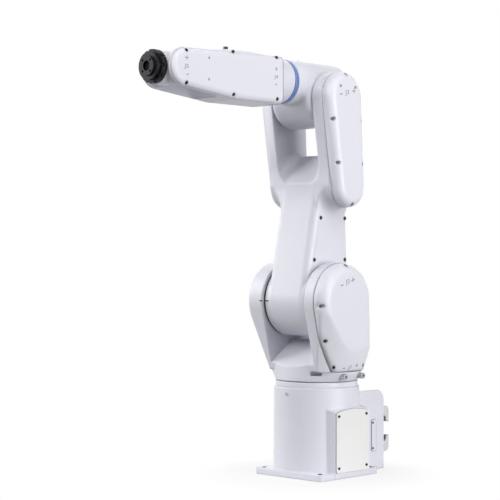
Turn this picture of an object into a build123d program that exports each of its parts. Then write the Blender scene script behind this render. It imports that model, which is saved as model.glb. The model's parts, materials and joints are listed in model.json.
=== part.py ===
"""Six-axis industrial robot arm. X forward, Y to its left, Z up, origin under the base on the first axis."""
import os
from build123d import *

os.makedirs("parts", exist_ok=True)

# Joint layout, mm
shoulder_offset = 27.5
shoulder_height = 383.0
upper_arm_length = 440.0
forearm_rise = 35.0
forearm_length = 417.5
elbow_height = shoulder_height + upper_arm_length
forearm_height = elbow_height + forearm_rise
wrist_x = shoulder_offset + forearm_length

# Fits shared by the joints
turn_gap = 1.5
fit_clearance = 0.3
end_clearance = 1.0
cut_reach = 260.0

# Screw pockets in the covers and blind holes in the castings
pocket_radius = 4.2
pocket_floor = 6.0
pocket_inset = 7.0
pod_pocket_upper_drop = 49.0
pod_pocket_lower_drop = 142.0
shoulder_pocket_drop = 8.0
shoulder_pocket_low_x = 82.0
shoulder_pocket_low_drop = 83.0
shoulder_pocket_foot_rise = 33.0
shoulder_pocket_foot_front_x = 52.5
shoulder_pocket_foot_rear_x = -41.0
side_pocket_floor = 3.0
side_pocket_rear_x = 181.6
side_pocket_middle_x = 312.0
side_pocket_rise = 42.0
side_pocket_drop = 46.0
dimple_x = 384.5
dimple_half_spacing = 21.6
dimple_radius = 2.5
dimple_depth = 2.5
waist_hole_radius = 3.5
waist_hole_depth = 8.0
waist_hole_upper_drop = 259.0
waist_hole_lower_drop = 350.0
waist_hole_upper_front_x = 48.0
waist_hole_lower_front_x = 69.0
waist_hole_rear_x = -32.0

# Base
plate_side = 192.0
plate_thickness = 14.0
plate_corner_radius = 5.0
plate_bolt_spacing = 164.0
plate_bolt_radius = 5.5
drum_foot_radius = 95.5
drum_top_radius = 94.2
drum_top = 195.5
collar_radius = 90.8
collar_height = 12.0
spigot_radius = 50.0
spigot_depth = 9.0
boss_front_x = 50.0
boss_rear_x = -64.0
boss_face_y = 97.0
boss_root_y = 70.0
boss_root_spread = 7.0
boss_shoulder_z = 145.0
boss_crown = 7.0
access_cover_margin = 2.5
access_cover_thickness = 3.0
access_cover_corner = 3.0
rear_box_width = 140.0
rear_box_reach = 152.0
rear_box_foot = 4.0
rear_box_top = 181.5
rear_box_roof_fall = 17.0
rear_box_top_round = 24.0
rear_box_edge_round = 5.0
rear_panel_margin = 12.0
rear_panel_top_drop = 28.0
rear_panel_thickness = 4.0
rear_panel_corner = 6.0
connector_width = 72.0
connector_height = 94.0
connector_depth = 18.0
connector_z = 88.0
connector_edge_round = 4.0
latch_width = 92.0
latch_thickness = 4.0
latch_reach = 40.0
latch_drop = 32.0
latch_round = 12.0
latch_gap = 1.0
strip_inset = 39.5
strip_width = 17.0
strip_height = 70.0
strip_z = 80.5
strip_thickness = 2.5
strip_corner = 3.0

# Turret
cheek_radius = 83.6
fork_half_gap = 62.4
cheek_left_y = 88.0
cheek_right_y = 102.5
cheek_right_round = 3.0
cheek_foot_front_x = 78.0
cheek_foot_rear_x = -57.0
cheek_foot_corner = 6.0
cheek_foot_rise = 22.0
skirt_foot_radius = 91.0
skirt_flare_radius = 100.0
skirt_flare_rise = 13.0
skirt_half_length = 88.0
skirt_half_width = 122.0
skirt_rise = 41.0
flank_lean_share = 0.355
fork_lip_rise = 33.0
fork_bed_x = 14.0
fork_bed_clearance = 10.0
trunnion_radius = 45.0
trunnion_depth = 10.0
foot_slot_angle = 40.0
foot_slot_reach = 97.0
foot_slot_length = 26.0
foot_slot_width = 9.0
foot_slot_depth = 16.0
foot_slot_rise = 18.0
shoulder_cover_margin = 1.0
shoulder_cover_thickness = 30.0
shoulder_cover_round = 24.0
shoulder_cover_crease_round = 5.0
shoulder_cap_radius = 55.0
shoulder_cap_thickness = 4.0
shoulder_cap_round = 2.0
plug_radius = 6.5
plug_length = 22.0
plug_outer_y = 106.0
plug_rise = 11.0
plug_front_x = 24.0
plug_rear_x = -34.0
plug_bore_radius = 2.8
plug_bore_depth = 6.0

# Upper arm
hub_radius = 78.0
waist_half_width = 54.5
waist_edge_round = 14.0
knuckle_x = 8.0
pod_length = 191.0
knuckle_radius = 46.0
pod_radius = 55.5
pod_left_y = 88.0
pod_right_y = 86.0
pod_half_gap = 60.0
crotch_front_x = 52.0
crotch_front_drop = 178.0
crotch_crest_x = 13.0
crotch_crest_drop = 118.0
crotch_crest_round = 8.0
crotch_rear_x = -40.0
crotch_rear_drop = 150.0
crotch_round = 28.0
flare_round = 24.0
flare_inset = 0.5
arm_cover_margin = 0.8
arm_cover_left_thickness = 26.0
arm_cover_left_round = 18.0
arm_cover_right_thickness = 6.0
arm_cover_right_round = 5.0
elbow_pin_radius = 36.0
elbow_pin_depth = 10.0
seal_outer_radius = 72.0
seal_inner_radius = 52.0

# Elbow
elbow_half_width = 58.0
elbow_hub_radius = 62.0
elbow_hub_round = 14.0
elbow_blend_round = 10.0
barrel_radius = 48.0
barrel_front_x = 110.0
barrel_rear_x = -58.0
barrel_rear_round = 14.0
rear_cover_radius = 38.0
rear_cover_thickness = 5.0
rear_cover_round = 2.0
ring_radius = 47.7
ring_width = 11.0
ring_edge_round = 3.0
roll_spigot_radius = 34.0
roll_spigot_depth = 9.0

# Forearm
neck_rear_radius = 47.7
neck_front_radius = 50.0
neck_end_x = 163.0
forearm_half_width = 43.0
forearm_top = 47.0
forearm_belly = 56.0
forearm_belly_x = 300.0
forearm_corner = 18.0
forearm_crown_radius = 55.0
forearm_crown_x = 255.0
forearm_crown_end_radius = 44.0
wrist_end_radius = 39.5
wrist_half_gap = 38.0
wrist_slot_x = 342.0
wrist_slot_round = 18.0
side_cover_margin = 2.2
side_cover_thickness = 8.0
side_cover_round = 14.0
side_cover_gap = 1.5

# Wrist and tool flange
wrist_hub_radius = 34.5
wrist_pin_radius = 20.0
wrist_pin_depth = 4.0
nose_radius = 34.0
nose_end_x = 482.0
tool_spigot_radius = 24.0
tool_spigot_depth = 8.0
flange_ring_radius = 34.0
flange_ring_width = 11.5
flange_notch_count = 10
flange_notch_radius = 3.2
flange_notch_depth = 5.0
flange_disc_radius = 28.0
flange_disc_width = 8.5
flange_boss_radius = 20.0
flange_boss_width = 4.5
flange_bore_radius = 10.0
flange_bore_depth = 6.0
flange_bolt_circle = 31.5
flange_bolt_radius = 2.5
flange_bolt_depth = 8.0


def side(y):
    """A plane across the arm at the given Y, drawn in X and Z and extruded toward the right."""
    return Plane.XZ.offset(-y)


def front(x):
    """A plane facing forward at the given X, drawn in Y and Z."""
    return Plane.YZ.offset(x)


def hull_of(circles):
    """The smooth outline around a set of circles given as x, z and radius."""
    with BuildSketch() as outline:
        for x, z, radius in circles:
            with Locations((x, z)):
                Circle(radius)
        make_hull()
    return outline.sketch


def face_of(points):
    """A plain outline through the given points."""
    with BuildSketch() as outline:
        with BuildLine():
            Polyline(*points, close=True)
        make_face()
    return outline.sketch


def boss_outline(spread):
    """The boss beside the drum with an arched top, spread outward by the given amount."""
    front_x = boss_front_x + spread
    rear_x = boss_rear_x - spread
    shoulder_z = boss_shoulder_z + spread
    with BuildSketch() as outline:
        with BuildLine():
            Polyline((front_x, shoulder_z), (front_x, 0), (rear_x, 0), (rear_x, shoulder_z))
            ThreePointArc(
                (rear_x, shoulder_z),
                ((front_x + rear_x) / 2, shoulder_z + boss_crown),
                (front_x, shoulder_z),
            )
        make_face()
    return outline.sketch


turret_foot_z = drum_top + collar_height + turn_gap
knuckle_z = elbow_height - pod_length
knuckle = (knuckle_x, knuckle_z, knuckle_radius)
waist_outline = hull_of([(shoulder_offset, shoulder_height, hub_radius), knuckle])
pod_outline = hull_of([(shoulder_offset, elbow_height, pod_radius), knuckle])
arm_cover_outline = hull_of([
    (shoulder_offset, elbow_height, pod_radius - arm_cover_margin),
    (knuckle_x, knuckle_z, knuckle_radius - arm_cover_margin),
])
cheek_foot_z = turret_foot_z + cheek_foot_rise + cheek_foot_corner
cheek_front = (cheek_foot_front_x - cheek_foot_corner, cheek_foot_z, cheek_foot_corner)
cheek_rear = (cheek_foot_rear_x + cheek_foot_corner, cheek_foot_z, cheek_foot_corner)
cheek_outline = hull_of([(shoulder_offset, shoulder_height, cheek_radius), cheek_front, cheek_rear])
shoulder_cover_outline = hull_of([
    (shoulder_offset, shoulder_height, cheek_radius - shoulder_cover_margin),
    cheek_front,
    cheek_rear,
])

# Base casting: rear housing, plate, drum and the flat boss on its left
with BuildPart() as base_casting:
    with BuildSketch(front(-rear_box_reach)):
        add(face_of([
            (rear_box_width / 2, rear_box_foot),
            (rear_box_width / 2, rear_box_top),
            (-rear_box_width / 2, rear_box_top - rear_box_roof_fall),
            (-rear_box_width / 2, rear_box_foot),
        ]))
    extrude(amount=rear_box_reach)
    fillet(base_casting.edges().group_by(Axis.X)[0].sort_by(Axis.Z)[-1], rear_box_top_round)
    fillet(base_casting.edges().filter_by(Axis.Z).group_by(Axis.X)[0], rear_box_edge_round)
    with BuildSketch():
        RectangleRounded(plate_side, plate_side, plate_corner_radius)
    extrude(amount=plate_thickness)
    with BuildSketch(Plane.XZ):
        add(face_of([(0, 0), (drum_foot_radius, 0), (drum_top_radius, drum_top), (0, drum_top)]))
    revolve(axis=Axis.Z)
    with BuildSketch(side(boss_face_y)):
        add(boss_outline(0))
    with BuildSketch(side(boss_root_y)):
        add(boss_outline(boss_root_spread))
    loft()
    with BuildSketch():
        with GridLocations(plate_bolt_spacing, plate_bolt_spacing, 2, 2):
            Circle(plate_bolt_radius)
    extrude(amount=plate_thickness, mode=Mode.SUBTRACT)
base_casting.part.label = "base_casting"
export_step(base_casting.part, "parts/base_casting.step")

# Collar on the drum, with the spigot that the turret turns on
with BuildPart() as base_collar:
    with BuildSketch(Plane.XY.offset(drum_top)):
        Circle(collar_radius)
    extrude(amount=collar_height)
    with BuildSketch(Plane.XY.offset(drum_top + collar_height)):
        Circle(spigot_radius)
    extrude(amount=turn_gap + spigot_depth)
base_collar.part.label = "base_collar"
export_step(base_collar.part, "parts/base_collar.step")

# Flat access cover on the boss
cover_front_x = boss_front_x - access_cover_margin
cover_rear_x = boss_rear_x + access_cover_margin
cover_shoulder_z = boss_shoulder_z - access_cover_margin
with BuildPart() as access_cover:
    with BuildSketch(side(boss_face_y + access_cover_thickness)) as cover_sketch:
        with BuildLine():
            Polyline(
                (cover_front_x, cover_shoulder_z),
                (cover_front_x, plate_thickness),
                (cover_rear_x, plate_thickness),
                (cover_rear_x, cover_shoulder_z),
            )
            ThreePointArc(
                (cover_rear_x, cover_shoulder_z),
                ((cover_front_x + cover_rear_x) / 2, cover_shoulder_z + boss_crown),
                (cover_front_x, cover_shoulder_z),
            )
        make_face()
        fillet(cover_sketch.vertices(), access_cover_corner)
    extrude(amount=access_cover_thickness)
access_cover.part.label = "access_cover"
export_step(access_cover.part, "parts/access_cover.step")

# Rear connector panel
rear_panel_low = rear_box_foot + rear_panel_margin
rear_panel_high = rear_box_top - rear_panel_top_drop
with BuildPart() as rear_panel:
    with BuildSketch(front(-rear_box_reach - rear_panel_thickness)):
        with Locations((0, (rear_panel_low + rear_panel_high) / 2)):
            RectangleRounded(
                rear_box_width - 2 * rear_panel_margin, rear_panel_high - rear_panel_low, rear_panel_corner
            )
    extrude(amount=rear_panel_thickness)
rear_panel.part.label = "rear_panel"
export_step(rear_panel.part, "parts/rear_panel.step")

# Cable connector on the rear panel
connector_back_x = -rear_box_reach - rear_panel_thickness
with BuildPart() as power_connector:
    with BuildSketch(front(connector_back_x - connector_depth)):
        with Locations((0, connector_z)):
            RectangleRounded(connector_width, connector_height, connector_edge_round)
    extrude(amount=connector_depth)
power_connector.part.label = "power_connector"
export_step(power_connector.part, "parts/power_connector.step")

# Curved locking levers above and below the connector
latch_low_z = connector_z + connector_height / 2 + latch_gap
latch_tip_x = connector_back_x - latch_reach
latch_tip_z = connector_z + connector_height / 2 - latch_drop
with BuildPart() as upper_latch:
    with BuildSketch(side(latch_width / 2)) as upper_latch_sketch:
        add(face_of([
            (connector_back_x, latch_low_z),
            (connector_back_x, latch_low_z + latch_thickness),
            (latch_tip_x, latch_low_z + latch_thickness),
            (latch_tip_x, latch_tip_z),
            (latch_tip_x + latch_thickness, latch_tip_z),
            (latch_tip_x + latch_thickness, latch_low_z),
        ]))
        fillet(upper_latch_sketch.vertices().group_by(Axis.X)[0].sort_by(Axis.Y)[-1], latch_round)
    extrude(amount=latch_width)
upper_latch.part.label = "upper_latch"
export_step(upper_latch.part, "parts/upper_latch.step")

with BuildPart() as lower_latch:
    add(upper_latch.part.mirror(Plane.XY.offset(connector_z)))
lower_latch.part.label = "lower_latch"
export_step(lower_latch.part, "parts/lower_latch.step")

# Narrow cover strip on the left of the rear housing
with BuildPart() as side_strip:
    with BuildSketch(side(rear_box_width / 2 + strip_thickness)):
        with Locations((strip_inset - rear_box_reach, strip_z)):
            RectangleRounded(strip_width, strip_height, strip_corner)
    extrude(amount=strip_thickness)
side_strip.part.label = "side_strip"
export_step(side_strip.part, "parts/side_strip.step")

# Leaning round flank that bounds the turret and its cover
flank_foot_z = turret_foot_z + skirt_flare_rise
flank_top_z = shoulder_height + cheek_radius + end_clearance
flank_top_radius = skirt_flare_radius + flank_lean_share * (flank_top_z - flank_foot_z)
with BuildPart() as turret_flank:
    with BuildSketch(Plane.XZ):
        add(face_of([
            (0, turret_foot_z),
            (skirt_foot_radius, turret_foot_z),
            (skirt_flare_radius, flank_foot_z),
            (flank_top_radius, flank_top_z),
            (0, flank_top_z),
        ]))
    revolve(axis=Axis.Z)

# Turret: skirt, two cheeks and the fork between them
fork_bed_z = shoulder_height - hub_radius - fork_bed_clearance
fork_lip_z = turret_foot_z + fork_lip_rise
fork_slope_share = (fork_lip_z - fork_bed_z) / (skirt_half_length - fork_bed_x)
cover_foot_z = turret_foot_z + cheek_foot_rise
plug_z = turret_foot_z + plug_rise
with BuildPart() as turret_casting:
    with BuildSketch(side(cheek_left_y)):
        add(cheek_outline)
    extrude(amount=cheek_left_y + cheek_right_y)
    fillet(turret_casting.faces().sort_by(Axis.Y)[0].edges(), cheek_right_round)
    add(turret_flank.part, mode=Mode.INTERSECT)
    with BuildSketch(Plane.XY.offset(turret_foot_z)):
        Circle(skirt_foot_radius)
    with BuildSketch(Plane.XY.offset(turret_foot_z + skirt_rise)):
        Ellipse(skirt_half_length, skirt_half_width)
    loft()
    with BuildSketch(side(cheek_right_y)):
        Rectangle(2 * cut_reach, 2 * (shoulder_height + cut_reach))
    extrude(amount=2 * cheek_right_y, mode=Mode.INTERSECT)
    with BuildSketch(side(cut_reach)):
        add(face_of([
            (cut_reach, cover_foot_z - end_clearance),
            (-cut_reach, cover_foot_z - end_clearance),
            (-cut_reach, shoulder_height),
            (cut_reach, shoulder_height),
        ]))
    extrude(amount=cut_reach - cheek_left_y, mode=Mode.SUBTRACT)
    with BuildSketch(side(fork_half_gap)):
        add(face_of([
            (cut_reach, fork_bed_z + fork_slope_share * (cut_reach - fork_bed_x)),
            (fork_bed_x, fork_bed_z),
            (-cut_reach, fork_bed_z),
            (-cut_reach, shoulder_height + cut_reach),
            (cut_reach, shoulder_height + cut_reach),
        ]))
    extrude(amount=2 * fork_half_gap, mode=Mode.SUBTRACT)
    with BuildSketch(side(fork_half_gap + trunnion_depth + end_clearance)):
        with Locations((shoulder_offset, shoulder_height)):
            Circle(trunnion_radius + fit_clearance)
    extrude(amount=2 * (fork_half_gap + trunnion_depth + end_clearance), mode=Mode.SUBTRACT)
    with BuildSketch(Plane.XY.offset(turret_foot_z)):
        Circle(spigot_radius + fit_clearance)
    extrude(amount=spigot_depth + end_clearance, mode=Mode.SUBTRACT)
    with BuildSketch(side(plug_outer_y)):
        with Locations((plug_front_x, plug_z), (plug_rear_x, plug_z)):
            Circle(plug_radius)
    extrude(amount=plug_length, mode=Mode.SUBTRACT)
    slot_plane = Plane.YZ.rotated((0, 0, foot_slot_angle)).offset(foot_slot_reach)
    with BuildSketch(slot_plane):
        with Locations((0, turret_foot_z + foot_slot_rise)):
            SlotOverall(foot_slot_length, foot_slot_width)
    extrude(amount=-foot_slot_depth, mode=Mode.SUBTRACT)
turret_casting.part.label = "turret_casting"
export_step(turret_casting.part, "parts/turret_casting.step")

# Domed shoulder cover on the left cheek
cover_outer_y = cheek_left_y + shoulder_cover_thickness
with BuildPart() as shoulder_cover:
    with BuildSketch(side(cover_outer_y)):
        add(shoulder_cover_outline)
    extrude(amount=shoulder_cover_thickness)
    fillet(shoulder_cover.faces().sort_by(Axis.Y)[-1].edges(), shoulder_cover_round)
    add(turret_flank.part, mode=Mode.INTERSECT)
    flank_edges = shoulder_cover.faces().filter_by(GeomType.CONE).edges()
    crease_edges = flank_edges.filter_by_position(Axis.Y, cheek_left_y + end_clearance, cover_outer_y)
    fillet(
        crease_edges.filter_by_position(Axis.Z, cheek_foot_z + cheek_foot_corner, shoulder_height),
        shoulder_cover_crease_round,
    )
    shoulder_rim = cheek_radius - pocket_inset
    with BuildSketch(side(cover_outer_y)):
        with Locations(
            (shoulder_offset, shoulder_height + shoulder_rim),
            (shoulder_offset + shoulder_rim, shoulder_height - shoulder_pocket_drop),
            (shoulder_offset - shoulder_rim, shoulder_height - shoulder_pocket_drop),
            (shoulder_pocket_low_x, shoulder_height - shoulder_pocket_low_drop),
            (shoulder_pocket_foot_front_x, turret_foot_z + shoulder_pocket_foot_rise),
            (shoulder_pocket_foot_rear_x, turret_foot_z + shoulder_pocket_foot_rise),
        ):
            Circle(pocket_radius)
    extrude(amount=shoulder_cover_thickness - pocket_floor, mode=Mode.SUBTRACT)
shoulder_cover.part.label = "shoulder_cover"
export_step(shoulder_cover.part, "parts/shoulder_cover.step")

# Bearing cap on the right cheek
with BuildPart() as shoulder_cap:
    with BuildSketch(side(-cheek_right_y)):
        with Locations((shoulder_offset, shoulder_height)):
            Circle(shoulder_cap_radius)
    extrude(amount=shoulder_cap_thickness)
    fillet(shoulder_cap.faces().sort_by(Axis.Y)[0].edges(), shoulder_cap_round)
shoulder_cap.part.label = "shoulder_cap"
export_step(shoulder_cap.part, "parts/shoulder_cap.step")

# Two round plugs low on the left of the turret
with BuildPart() as front_plug:
    with BuildSketch(side(plug_outer_y)):
        with Locations((plug_front_x, plug_z)):
            Circle(plug_radius)
    extrude(amount=plug_length)
    with BuildSketch(side(plug_outer_y)):
        with Locations((plug_front_x, plug_z)):
            Circle(plug_bore_radius)
    extrude(amount=plug_bore_depth, mode=Mode.SUBTRACT)
front_plug.part.label = "front_plug"
export_step(front_plug.part, "parts/front_plug.step")

with BuildPart() as rear_plug:
    add(front_plug.part.moved(Location((plug_rear_x - plug_front_x, 0, 0))))
rear_plug.part.label = "rear_plug"
export_step(rear_plug.part, "parts/rear_plug.step")

# Upper arm: hub, waist and the two elbow pods
crotch_crest_z = elbow_height - crotch_crest_drop
crotch_front_share = (crotch_front_drop - crotch_crest_drop) / (crotch_front_x - crotch_crest_x)
crotch_rear_share = (crotch_rear_drop - crotch_crest_drop) / (crotch_crest_x - crotch_rear_x)
with BuildPart() as crotch_cutter:
    with BuildSketch(side(pod_half_gap)) as crotch_sketch:
        add(face_of([
            (cut_reach, crotch_crest_z - crotch_front_share * (cut_reach - crotch_crest_x)),
            (crotch_crest_x, crotch_crest_z),
            (-cut_reach, crotch_crest_z - crotch_rear_share * (cut_reach + crotch_crest_x)),
            (-cut_reach, elbow_height + cut_reach),
            (cut_reach, elbow_height + cut_reach),
        ]))
        crest = (crotch_crest_x, crotch_crest_z, 0)
        fillet(crotch_sketch.vertices().sort_by_distance(crest)[0], crotch_crest_round)
    extrude(amount=2 * pod_half_gap)
    crotch_rims = crotch_cutter.faces().filter_by(Axis.Y).edges()
    crotch_rims = crotch_rims.filter_by_position(Axis.X, end_clearance - cut_reach, cut_reach - end_clearance)
    fillet(crotch_rims.filter_by_position(Axis.Z, 0, elbow_height), crotch_round)

# Hollow flare from the waist out to the underside of each pod
flare_root_y = waist_half_width - waist_edge_round
flare_outer_y = waist_half_width + flare_round
flare_outer_radius = knuckle_radius + flare_round
flare_bow_share = 1 - 2 ** -0.5
with BuildPart() as pod_flare:
    with BuildSketch(Plane.XY.offset(knuckle_z)):
        with BuildLine():
            Polyline(
                (knuckle_x, flare_outer_y),
                (knuckle_x, flare_root_y),
                (knuckle_x + knuckle_radius, flare_root_y),
                (knuckle_x + flare_outer_radius, waist_half_width),
            )
            ThreePointArc(
                (knuckle_x + flare_outer_radius, waist_half_width),
                (
                    knuckle_x + knuckle_radius + flare_round * flare_bow_share,
                    waist_half_width + flare_round * flare_bow_share,
                ),
                (knuckle_x + knuckle_radius, flare_outer_y),
            )
            Line((knuckle_x + knuckle_radius, flare_outer_y), (knuckle_x, flare_outer_y))
        make_face()
    revolve(axis=Axis((knuckle_x, 0, knuckle_z), (0, 1, 0)))
    mirror(about=Plane.XZ)
    with BuildSketch(side(flare_outer_y)):
        add(hull_of([
            (shoulder_offset, shoulder_height, hub_radius - flare_inset),
            (knuckle_x, knuckle_z, knuckle_radius - flare_inset),
        ]))
    extrude(amount=2 * flare_outer_y, mode=Mode.INTERSECT)

with BuildPart() as upper_arm_casting:
    with BuildSketch(side(waist_half_width)):
        add(waist_outline)
    extrude(amount=2 * waist_half_width)
    fillet(upper_arm_casting.faces().filter_by(Axis.Y).edges(), waist_edge_round)
    with BuildSketch(side(fork_half_gap + trunnion_depth)):
        with Locations((shoulder_offset, shoulder_height)):
            Circle(trunnion_radius)
    extrude(amount=2 * (fork_half_gap + trunnion_depth))
    add(pod_flare.part)
    with BuildSketch(side(pod_left_y)):
        add(pod_outline)
    extrude(amount=pod_left_y + pod_right_y)
    add(crotch_cutter.part, mode=Mode.SUBTRACT)
    with BuildSketch(side(pod_half_gap + elbow_pin_depth + end_clearance)):
        with Locations((shoulder_offset, elbow_height)):
            Circle(elbow_pin_radius + fit_clearance)
    extrude(amount=2 * (pod_half_gap + elbow_pin_depth + end_clearance), mode=Mode.SUBTRACT)
    with BuildSketch(side(waist_half_width), side(waist_hole_depth - waist_half_width)):
        with Locations(
            (waist_hole_upper_front_x, elbow_height - waist_hole_upper_drop),
            (waist_hole_rear_x, elbow_height - waist_hole_upper_drop),
            (waist_hole_lower_front_x, elbow_height - waist_hole_lower_drop),
            (waist_hole_rear_x, elbow_height - waist_hole_lower_drop),
        ):
            Circle(waist_hole_radius)
    extrude(amount=waist_hole_depth, mode=Mode.SUBTRACT)
upper_arm_casting.part.label = "upper_arm_casting"
export_step(upper_arm_casting.part, "parts/upper_arm_casting.step")

# Domed cover on the left pod and flat cover on the right one
with BuildPart() as arm_cover_left:
    with BuildSketch(side(pod_left_y + arm_cover_left_thickness)):
        add(arm_cover_outline)
    extrude(amount=arm_cover_left_thickness)
    fillet(arm_cover_left.faces().sort_by(Axis.Y)[-1].edges(), arm_cover_left_round)
    pod_rim = pod_radius - pocket_inset
    knuckle_rim = knuckle_radius - pocket_inset
    with BuildSketch(side(pod_left_y + arm_cover_left_thickness)):
        with Locations(
            (shoulder_offset, elbow_height + pod_rim),
            (knuckle_x, knuckle_z - knuckle_rim),
            (shoulder_offset + pod_rim - pocket_inset, elbow_height - pod_pocket_upper_drop),
            (shoulder_offset - pod_rim, elbow_height - pod_pocket_upper_drop),
            (knuckle_x + knuckle_radius, elbow_height - pod_pocket_lower_drop),
            (knuckle_x - knuckle_rim + pocket_inset, elbow_height - pod_pocket_lower_drop),
        ):
            Circle(pocket_radius)
    extrude(amount=arm_cover_left_thickness - pocket_floor, mode=Mode.SUBTRACT)
arm_cover_left.part.label = "arm_cover_left"
export_step(arm_cover_left.part, "parts/arm_cover_left.step")

with BuildPart() as arm_cover_right:
    with BuildSketch(side(-pod_right_y)):
        add(arm_cover_outline)
    extrude(amount=arm_cover_right_thickness)
    fillet(arm_cover_right.faces().sort_by(Axis.Y)[0].edges(), arm_cover_right_round)
arm_cover_right.part.label = "arm_cover_right"
export_step(arm_cover_right.part, "parts/arm_cover_right.step")

# Shaft seals between the hub and the cheeks
seal_thickness = fork_half_gap - turn_gap - waist_half_width
with BuildPart() as hub_seal_left:
    with BuildSketch(side(waist_half_width + seal_thickness)):
        with Locations((shoulder_offset, shoulder_height)):
            Circle(seal_outer_radius)
            Circle(seal_inner_radius, mode=Mode.SUBTRACT)
    extrude(amount=seal_thickness)
hub_seal_left.part.label = "hub_seal_left"
export_step(hub_seal_left.part, "parts/hub_seal_left.step")

with BuildPart() as hub_seal_right:
    with BuildSketch(side(-waist_half_width)):
        with Locations((shoulder_offset, shoulder_height)):
            Circle(seal_outer_radius)
            Circle(seal_inner_radius, mode=Mode.SUBTRACT)
    extrude(amount=seal_thickness)
hub_seal_right.part.label = "hub_seal_right"
export_step(hub_seal_right.part, "parts/hub_seal_right.step")

# Elbow: cross hub on the third axis and barrel on the fourth
with BuildPart() as elbow_casting:
    with BuildSketch(side(elbow_half_width)):
        with Locations((shoulder_offset, elbow_height)):
            Circle(elbow_hub_radius)
    extrude(amount=2 * elbow_half_width)
    fillet(elbow_casting.faces().filter_by(Axis.Y).edges(), elbow_hub_round)
    with BuildSketch(front(barrel_rear_x)):
        with Locations((0, forearm_height)):
            Circle(barrel_radius)
    extrude(amount=barrel_front_x - barrel_rear_x)
    fillet(elbow_casting.edges(Select.LAST).filter_by(GeomType.BSPLINE), elbow_blend_round)
    fillet(elbow_casting.faces().sort_by(Axis.X)[0].edges(), barrel_rear_round)
    with BuildSketch(front(barrel_front_x)):
        with Locations((0, forearm_height)):
            Circle(roll_spigot_radius)
    extrude(amount=ring_width + turn_gap + roll_spigot_depth)
    with BuildSketch(side(pod_half_gap + elbow_pin_depth)):
        with Locations((shoulder_offset, elbow_height)):
            Circle(elbow_pin_radius)
    extrude(amount=2 * (pod_half_gap + elbow_pin_depth))
elbow_casting.part.label = "elbow_casting"
export_step(elbow_casting.part, "parts/elbow_casting.step")

with BuildPart() as elbow_rear_cover:
    with BuildSketch(front(barrel_rear_x)):
        with Locations((0, forearm_height)):
            Circle(rear_cover_radius - barrel_rear_round / 2)
    extrude(amount=-rear_cover_thickness)
    fillet(elbow_rear_cover.faces().sort_by(Axis.X)[0].edges(), rear_cover_round)
elbow_rear_cover.part.label = "elbow_rear_cover"
export_step(elbow_rear_cover.part, "parts/elbow_rear_cover.step")

# Coloured ring at the forearm roll joint
with BuildPart() as accent_ring:
    with BuildSketch(front(barrel_front_x)):
        with Locations((0, forearm_height)):
            Circle(ring_radius)
            Circle(roll_spigot_radius + fit_clearance, mode=Mode.SUBTRACT)
    extrude(amount=ring_width)
    fillet(accent_ring.edges().filter_by(GeomType.CIRCLE).group_by(SortBy.RADIUS)[-1], ring_edge_round)
accent_ring.part.label = "accent_ring"
export_step(accent_ring.part, "parts/accent_ring.step")

# Forearm body with both side covers in place, reaching back into the neck
neck_start_x = barrel_front_x + ring_width + turn_gap
cover_face_y = forearm_half_width + side_cover_thickness
forearm_end = (wrist_x, forearm_height, wrist_end_radius)
forearm_top_z = forearm_height + forearm_top - forearm_corner
forearm_belly_z = forearm_height - forearm_belly + forearm_corner
with BuildPart() as forearm_body:
    with BuildSketch(side(cover_face_y)):
        add(hull_of([
            forearm_end,
            (neck_start_x, forearm_top_z, forearm_corner),
            (neck_start_x, forearm_belly_z, forearm_corner),
            (forearm_belly_x, forearm_belly_z, forearm_corner),
        ]))
    extrude(amount=2 * cover_face_y)
    fillet(forearm_body.faces().filter_by(Axis.Y).edges(), side_cover_round)

# Forearm: round neck, crowned body and the wrist fork
with BuildPart() as forearm_casting:
    add(forearm_body.part)
    with BuildSketch(Plane.XY.offset(forearm_height)):
        with BuildLine():
            Polyline(
                (wrist_slot_x + wrist_slot_round, forearm_crown_end_radius),
                (wrist_slot_x + wrist_slot_round, 0),
                (neck_end_x, 0),
                (neck_end_x, neck_front_radius),
            )
            Spline(
                (neck_end_x, neck_front_radius),
                (forearm_crown_x, forearm_crown_radius),
                (wrist_slot_x + wrist_slot_round, forearm_crown_end_radius),
            )
        make_face()
    revolve(axis=Axis((0, 0, forearm_height), (1, 0, 0)))
    with BuildSketch(Plane.XY.offset(forearm_height - cut_reach)):
        with Locations((neck_end_x, 0)):
            Rectangle(2 * cut_reach, 2 * forearm_half_width, align=(Align.MIN, Align.CENTER))
    extrude(amount=2 * cut_reach, mode=Mode.INTERSECT)
    with BuildSketch(Plane.XY.offset(forearm_height)):
        add(face_of([
            (neck_start_x, 0),
            (neck_start_x, neck_rear_radius),
            (neck_end_x, neck_front_radius),
            (neck_end_x, 0),
        ]))
    revolve(axis=Axis((0, 0, forearm_height), (1, 0, 0)))
    with BuildSketch(Plane.XY.offset(forearm_height - cut_reach)) as wrist_slot:
        with Locations((wrist_slot_x, 0)):
            Rectangle(cut_reach, 2 * wrist_half_gap, align=(Align.MIN, Align.CENTER))
        fillet(wrist_slot.vertices().group_by(Axis.X)[0], wrist_slot_round)
    extrude(amount=2 * cut_reach, mode=Mode.SUBTRACT)
    with BuildSketch(side(forearm_half_width)):
        with Locations((wrist_x, forearm_height)):
            Circle(wrist_pin_radius + fit_clearance)
    extrude(amount=2 * forearm_half_width, mode=Mode.SUBTRACT)
    with BuildSketch(front(neck_start_x)):
        with Locations((0, forearm_height)):
            Circle(roll_spigot_radius + fit_clearance)
    extrude(amount=roll_spigot_depth + end_clearance, mode=Mode.SUBTRACT)
forearm_casting.part.label = "forearm_casting"
export_step(forearm_casting.part, "parts/forearm_casting.step")

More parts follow.
